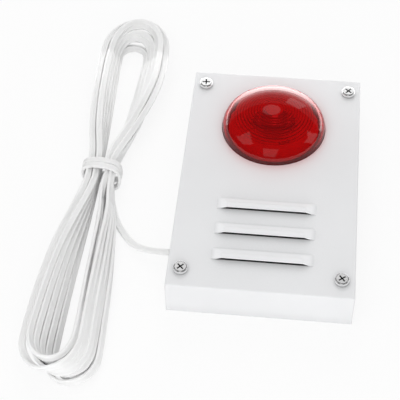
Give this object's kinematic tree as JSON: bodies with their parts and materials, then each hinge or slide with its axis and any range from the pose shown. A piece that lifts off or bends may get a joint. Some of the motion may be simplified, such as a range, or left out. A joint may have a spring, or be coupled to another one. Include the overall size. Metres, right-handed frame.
{
  "type": "strobe siren",
  "caption": "Wall-mounted folded steel siren box with a red domed strobe lens, louvres and a tied hank of white supply cord.",
  "frame": {"origin": "centre of the box's back face, which goes against the wall", "axes": "+Z out of the front, +Y along the box towards the lens, +X to the right as seen from the front"},
  "size_m": [0.2062, 0.324, 0.0474],
  "materials": {
    "cover_paint": "fine powder coat",
    "plate_zinc": "bright zinc plate",
    "screw_chrome": "polished",
    "lens_red": "clear tinted polycarbonate",
    "rubber_black": "matte",
    "gland_white": "matte",
    "foam_grey": "soft",
    "basket_black": "satin",
    "pole_zinc": "yellow zinc plate",
    "ferrite": "sintered, matte",
    "coil_copper": "enamelled wire",
    "cone_paper": "pressed paper",
    "tag_board": "matte",
    "board_green": "satin",
    "brass_turned": "turned",
    "moulding_white": "satin",
    "dish_aluminium": "mirror-bright",
    "tube_glass": "clear",
    "can_sleeve": "shrink sleeve",
    "terminal_green": "satin",
    "epoxy_black": "matte",
    "wire_sleeve": "satin",
    "cord_white": "satin soft PVC"
  },
  "bodies": {
    "root": {"front_cover": "cover_paint", "back_plate": "plate_zinc", "corner_brackets": "plate_zinc", "cover_screws": "screw_chrome", "strobe_lens": "lens_red", "lens_gasket": "rubber_black", "lens_clamp_ring": "plate_zinc", "weld_studs": "plate_zinc", "stud_nuts": "plate_zinc", "speaker_gasket": "foam_grey", "speaker_basket": "basket_black", "speaker_pole_plate": "pole_zinc", "speaker_magnet": "ferrite", "speaker_yoke": "pole_zinc", "voice_coil": "coil_copper", "speaker_cone": "cone_paper", "speaker_tags": "tag_board", "strobe_board": "board_green", "siren_board": "board_green", "board_standoffs": "brass_turned", "board_screws": "plate_zinc", "flash_tube_holder": "moulding_white", "reflector_dish": "dish_aluminium", "flash_tube": "tube_glass", "trigger_wire": "plate_zinc", "flash_capacitor": "can_sleeve", "inverter_transformer": "epoxy_black", "trigger_coil": "epoxy_black", "terminal_block": "terminal_green", "terminal_screws": "plate_zinc", "siren_chip": "epoxy_black", "driver_transistors": "epoxy_black", "smoothing_capacitor": "can_sleeve", "cable_gland": "gland_white", "cord_clamp": "moulding_white", "clamp_screw": "plate_zinc", "inner_cord": "cord_white", "supply_wires": "wire_sleeve", "strobe_wires": "wire_sleeve", "speaker_wires": "wire_sleeve", "supply_cord": "cord_white", "cord_hank": "cord_white"}
  },
  "joints": []
}
